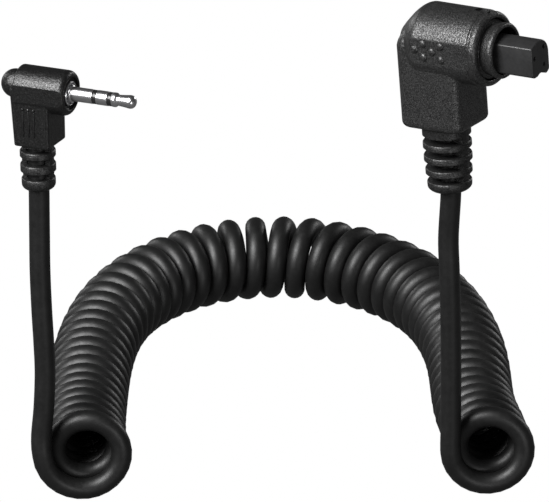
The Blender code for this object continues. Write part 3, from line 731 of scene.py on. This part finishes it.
def collar_spring():
    """The coil spring behind the collar, as a mesh of its own, at rest."""
    mean, wire, turns, steps = 5.05, 0.19, 4.5, 126
    line = bpy.data.curves.new("spring_line", "CURVE")
    line.dimensions = "3D"
    line.bevel_depth = wire
    line.bevel_resolution = 3
    line.use_fill_caps = True
    path = line.splines.new("POLY")
    path.points.add(steps)
    for k in range(steps + 1):
        turn = 2 * math.pi * turns * k / steps
        x = SPRING_X[0] + (SPRING_X[1] - SPRING_X[0]) * k / steps
        path.points[k].co = (x, mean * math.cos(turn), mean * math.sin(turn), 1.0)
    shape = bpy.data.objects.new("spring_line", line)
    bpy.context.scene.collection.objects.link(shape)
    mesh = bpy.data.meshes.new_from_object(shape.evaluated_get(bpy.context.evaluated_depsgraph_get()))
    bpy.data.objects.remove(shape)
    bm = bmesh.new()
    bm.from_mesh(mesh)
    return add_object("collar_spring_visual", bm)


def insert_outline(x, inset=0.0):
    """The outline: a crisp near corner, a round far one, and two key ribs along the bottom."""
    y, low = 2.65, -3.0
    outline = [(y, low + 0.1), (2.4, low - 0.15), (1.75, low - 0.55), (0.8, low - 0.2), (0.25, low)]
    outline += [(-0.35, low), (-1.1, low - 0.35), (-1.95, low - 0.4), (-y, low + 0.05)]
    outline += [(-y, 2.02), (-1.7, 2.45), (-0.6, 2.8), (0.3, 2.88), (1.0, 2.75), (1.7, 2.35)]
    outline += [(2.2, 1.8), (2.5, 1.2), (y, 0.5)]
    outline = eased([(a, b + 20) for a, b in outline], 0.16, 3)
    middle = np.array((0.0, 19.4))
    points = []
    for p in outline:
        out = np.array(p) - middle
        points.append(middle + out * (1 - inset / np.linalg.norm(out)))
    return [(x, a, b - 20) for a, b in points]


def contact_insert():
    loops = [insert_outline(x) for x in (1.9, 12.0, 19.75)]
    for degrees in (25, 50, 70, 90):
        turn = math.radians(degrees)
        loops.append(insert_outline(19.75 + 0.25 * math.sin(turn), 0.25 * (1 - math.cos(turn))))
    made = loft("contact_insert_visual", loops)
    combined(made, "UNION", rod("flange", 0.9, 2.0, 4.3))
    for y, z in CONTACTS:
        combined(made, "DIFFERENCE", rod("seat", 0.0, 18.9, 0.62, sides=24, centre=(y, z)))
        mouth = [(18.0, 0.0), (18.0, 0.34), (19.85, 0.34), (20.1, 0.5), (21.0, 0.5), (21.0, 0.0)]
        combined(made, "DIFFERENCE", turned("mouth", mouth, sides=24, centre=(y, z)))
    return made


def build_connector():
    place = plug_frame(CAMERA_AT, CAMERA_POINTS, CAMERA_UP)
    body = done(connector_body(), PLASTIC, place, ["camera_plug_body"], angle=50)
    collar = done(lock_collar(), PLASTIC, place, ["lock_collar"], body="collar")
    spring = done(collar_spring(), STEEL, place, ["collar_spring"])
    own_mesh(spring)
    insert = done(contact_insert(), INSERT, place, ["contact_insert"], angle=32)
    neck = (CONNECTOR_BOTTOM - 0.04, -16.55, 4.2)
    rings = [(-17.8, -18.95, 4.2), (-20.15, -21.3, 4.16), (-22.5, -23.65, 4.02), (-24.85, -25.7, 3.84)]
    relief = boot("connector_boot", neck, rings, CAMERA_HELD[1], 1.0, -0.13)
    done(relief, RUBBER, place, ["camera_strain_relief"], angle=38)
    return [body, collar, insert, relief]


PLASTIC = plastic_look("moulded_plastic", 0.006, 0.028, (0.22, 1.0))
JACK_PLASTIC = plastic_look("jack_plastic", 0.0025, 0.007, (0.34, 0.74))
RUBBER, CORD, INSERT = rubber_look(), cord_look(), insert_look()
CHROME = metal_look("chrome", (0.74, 0.74, 0.75), 0.27, 0.29)
STEEL = metal_look("spring_wire", (0.55, 0.54, 0.52), 0.22, 0.34)
INSULATOR = plain_look("pin_insulator", (0.008, 0.008, 0.008), 0.3)
WIRE_BLACK = plain_look("wire_black", (0.02, 0.02, 0.02), 0.5)
WIRE_RED = plain_look("wire_red", (0.5, 0.03, 0.02), 0.5)
WIRE_WHITE = plain_look("wire_white", (0.8, 0.8, 0.78), 0.5)

LOOKS = {
    "black_plastic": PLASTIC, "black_rubber": RUBBER, "cord_jacket": CORD, "dark_insert": INSERT,
    "insulator": INSULATOR, "spring_steel": STEEL, "plated_contact": CHROME, "wire_black": WIRE_BLACK,
    "wire_red": WIRE_RED, "wire_white": WIRE_WHITE,
}
for part in frame["record"]["subparts"]:
    node = frame["nodes"][part["node"]]
    for index in range(len(node.material_slots)):
        node.material_slots[index].material = LOOKS[part["material_slot"]]
cord.data.materials.append(CORD)
build_jack()

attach(cord, "cord_and_plugs")
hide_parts("coil", "jack_tail", "camera_tail")
build_connector()

# ---- the studio ----------------------------------------------------------------------------------

SEEN, LIGHTING = 1.0, 0.5  # the white round the object, to the camera and as light
FLOOR_MIRRORED, WORLD_MIRRORED = 0.13, 0.05  # the same in reflections
LAMP_AIM = (0.0, 0.0, 0.03)


def by_ray(tree, mirrored):
    """A strength that differs between what the camera sees, what shines back and what lights."""
    path = tree.nodes.new("ShaderNodeLightPath")
    value = None
    for output, change in (("Is Camera Ray", SEEN - LIGHTING), ("Is Glossy Ray", mirrored - LIGHTING)):
        node = tree.nodes.new("ShaderNodeMath")
        node.operation = "MULTIPLY_ADD"
        tree.links.new(path.outputs[output], node.inputs[0])
        node.inputs[1].default_value = change
        if value is None:
            node.inputs[2].default_value = LIGHTING
        else:
            tree.links.new(value, node.inputs[2])
        value = node.outputs[0]
    return value


def floor():
    """Plain white paper. It gives out its own light, so that no shadow shows, as in the photograph."""
    bm = bmesh.new()
    bmesh.ops.create_circle(bm, cap_ends=True, radius=0.95, segments=96)
    mesh = bpy.data.meshes.new("floor")
    bm.to_mesh(mesh)
    bm.free()
    made = bpy.data.objects.new("floor", mesh)
    bpy.context.scene.collection.objects.link(made)
    look = bpy.data.materials.new("floor_paper")
    look.use_nodes = True
    shader = look.node_tree.nodes["Principled BSDF"]
    shader.inputs["Base Color"].default_value = (0.0, 0.0, 0.0, 1.0)
    shader.inputs["Specular IOR Level"].default_value = 0.0
    shader.inputs["Roughness"].default_value = 0.9
    shader.inputs["Emission Color"].default_value = (1.0, 1.0, 1.0, 1.0)
    look.node_tree.links.new(by_ray(look.node_tree, FLOOR_MIRRORED), shader.inputs["Emission Strength"])
    made.data.materials.append(look)
    return made


def lamp(name, place, size, watts):
    data = bpy.data.lights.new(name, "AREA")
    data.shape = "RECTANGLE"
    data.size, data.size_y = size
    data.energy = watts
    made = bpy.data.objects.new(name, data)
    bpy.context.scene.collection.objects.link(made)
    made.location = place
    made.rotation_euler = (Vector(LAMP_AIM) - Vector(place)).to_track_quat("-Z", "Y").to_euler()
    made.visible_camera = False
    return made


floor()
lamp("key", (-0.56, -0.46, 0.68), (0.6, 0.6), 23.0)
lamp("front_fill", (0.45, -1.0, 0.10), (0.3, 0.2), 2.2)
lamp("back_left", (-0.75, 0.85, 0.22), (0.35, 0.25), 1.8)
lamp("back_right", (0.75, 0.85, 0.22), (0.35, 0.25), 1.8)

world = bpy.data.worlds.new("studio")
bpy.context.scene.world = world
world.use_nodes = True
background = world.node_tree.nodes["Background"]
background.inputs["Color"].default_value = (1.0, 1.0, 1.0, 1.0)
world.node_tree.links.new(by_ray(world.node_tree, WORLD_MIRRORED), background.inputs["Strength"])
bpy.context.scene.view_settings.view_transform = "Standard"
